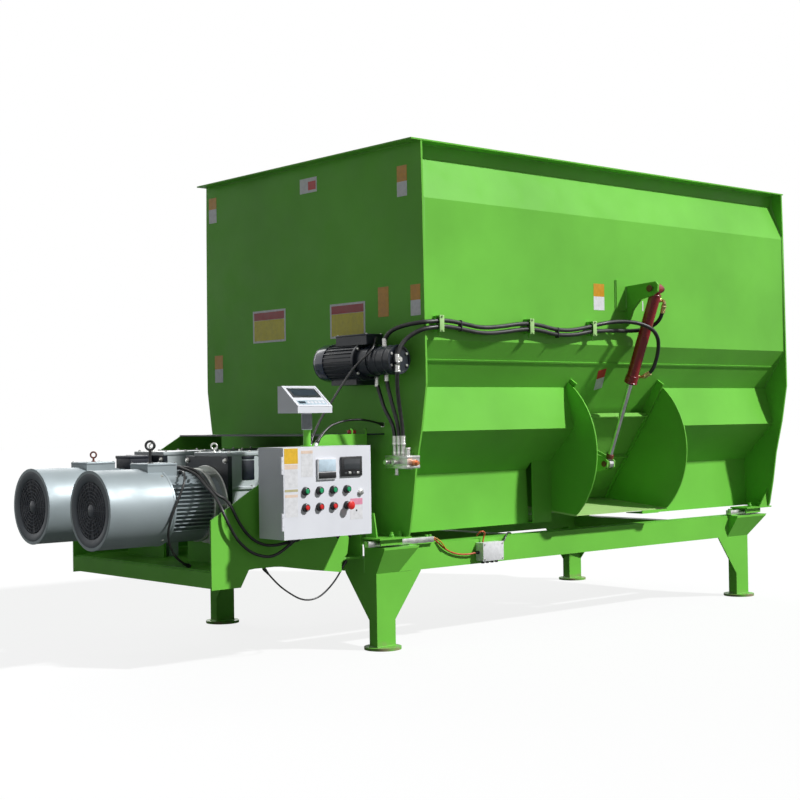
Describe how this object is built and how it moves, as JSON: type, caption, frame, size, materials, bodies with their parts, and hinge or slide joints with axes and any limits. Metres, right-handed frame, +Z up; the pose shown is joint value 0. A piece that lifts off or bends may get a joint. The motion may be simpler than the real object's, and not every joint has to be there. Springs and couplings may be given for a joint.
{
  "type": "stationary feed mixer",
  "caption": "Stationary mixer for animal feed: open V-shaped tub on legs with weigh cells, lying augers driven by electric motors, and a side chute with a sliding door.",
  "frame": {"origin": "floor level, centre of the four feet", "axes": "+Z up, +X from the motors along the tub to its rear plate, -Y the side with the discharge door"},
  "size_m": [5.032, 2.328, 2.755],
  "materials": {
    "green_paint": "gloss",
    "dark_plate": "satin",
    "auger_steel": "satin",
    "cast_grey": "satin",
    "motor_grey": "satin",
    "light_grey": "satin",
    "cabinet_white": "satin",
    "red_paint": "gloss",
    "chrome_rod": "polished",
    "hose_rubber": "satin"
  },
  "bodies": {
    "base": {"front_plate": "green_paint", "rear_plate": "green_paint", "wall_near": "green_paint", "wall_far": "green_paint", "trough": "green_paint", "rim": "green_paint", "cover_near_front": "green_paint", "cover_near_rear": "green_paint", "cover_far": "green_paint", "ledge_ends": "green_paint", "chute": "green_paint", "door_guides": "green_paint", "cylinder_bracket": "green_paint", "leg_front_near": "green_paint", "leg_front_far": "green_paint", "leg_rear_near": "green_paint", "leg_rear_far": "green_paint", "rail_near": "green_paint", "rail_far": "green_paint", "cross_beams": "green_paint", "side_plate_near": "green_paint", "side_plate_far": "green_paint", "drive_frame": "green_paint", "cells_near": "green_paint", "cells_far": "green_paint", "hose_clamps": "green_paint", "deck_plate": "dark_plate", "bearings": "cast_grey", "drive_flanges": "dark_plate", "pump": "dark_plate", "pump_hoses": "hose_rubber", "hose_upper": "hose_rubber", "hose_lower": "hose_rubber", "box_cables": "hose_rubber", "motor_cable_upper": "hose_rubber", "motor_cable_lower": "hose_rubber", "motor_cable_down": "hose_rubber", "hanging_cable": "hose_rubber", "pump_cable": "hose_rubber", "plate_cable": "hose_rubber", "motor_near": "motor_grey", "motor_far": "motor_grey", "gearbox_near": "light_grey", "gearbox_far": "light_grey", "power_pack": "dark_plate", "valve_block": "auger_steel", "cabinet": "cabinet_white", "weigh_display": "cabinet_white", "junction_box": "cabinet_white"},
    "auger_near": {"auger_near": "auger_steel"},
    "auger_far": {"auger_far": "auger_steel"},
    "discharge_door": {"discharge_door": "green_paint"},
    "cylinder_barrel": {"cylinder_barrel": "red_paint", "port_elbows": "auger_steel", "hose_loop_low": "hose_rubber", "hose_loop_top": "hose_rubber"},
    "cylinder_rod": {"cylinder_rod": "chrome_rod"},
    "cabinet_door": {"cabinet_door": "cabinet_white"}
  },
  "joints": [
    {"name": "auger_near_spin", "type": "hinge", "parent": "base", "child": "auger_near", "pos_m": [0, -0.205, 0.82], "axis": [1, 0, 0], "continuous": true},
    {"name": "auger_far_spin", "type": "hinge", "parent": "base", "child": "auger_far", "pos_m": [0, 0.205, 0.82], "axis": [1, 0, 0], "continuous": true},
    {"name": "door_slide", "type": "slide", "parent": "base", "child": "discharge_door", "axis": [0, -0.5583, 0.8296], "range_m": [0, 0.36]},
    {"name": "barrel_swing", "type": "hinge", "parent": "base", "child": "cylinder_barrel", "pos_m": [0.2075, -1.23, 2.01], "axis": [1, 0, 0], "range_deg": [-8, 0.5]},
    {"name": "rod_slide", "type": "slide", "parent": "cylinder_barrel", "child": "cylinder_rod", "axis": [0, 0.3608, -0.9327], "range_m": [-0.36, 0.002]},
    {"name": "cabinet_hinge", "type": "hinge", "parent": "base", "child": "cabinet_door", "pos_m": [-2.4155, -0.948, 0.88], "axis": [0, 0, -1], "range_deg": [0, 110]}
  ],
  "couplings": [
    {"joint": "barrel_swing", "follows": "door_slide", "rad_per_m": -0.2615},
    {"joint": "rod_slide", "follows": "door_slide", "ratio": -0.966}
  ]
}
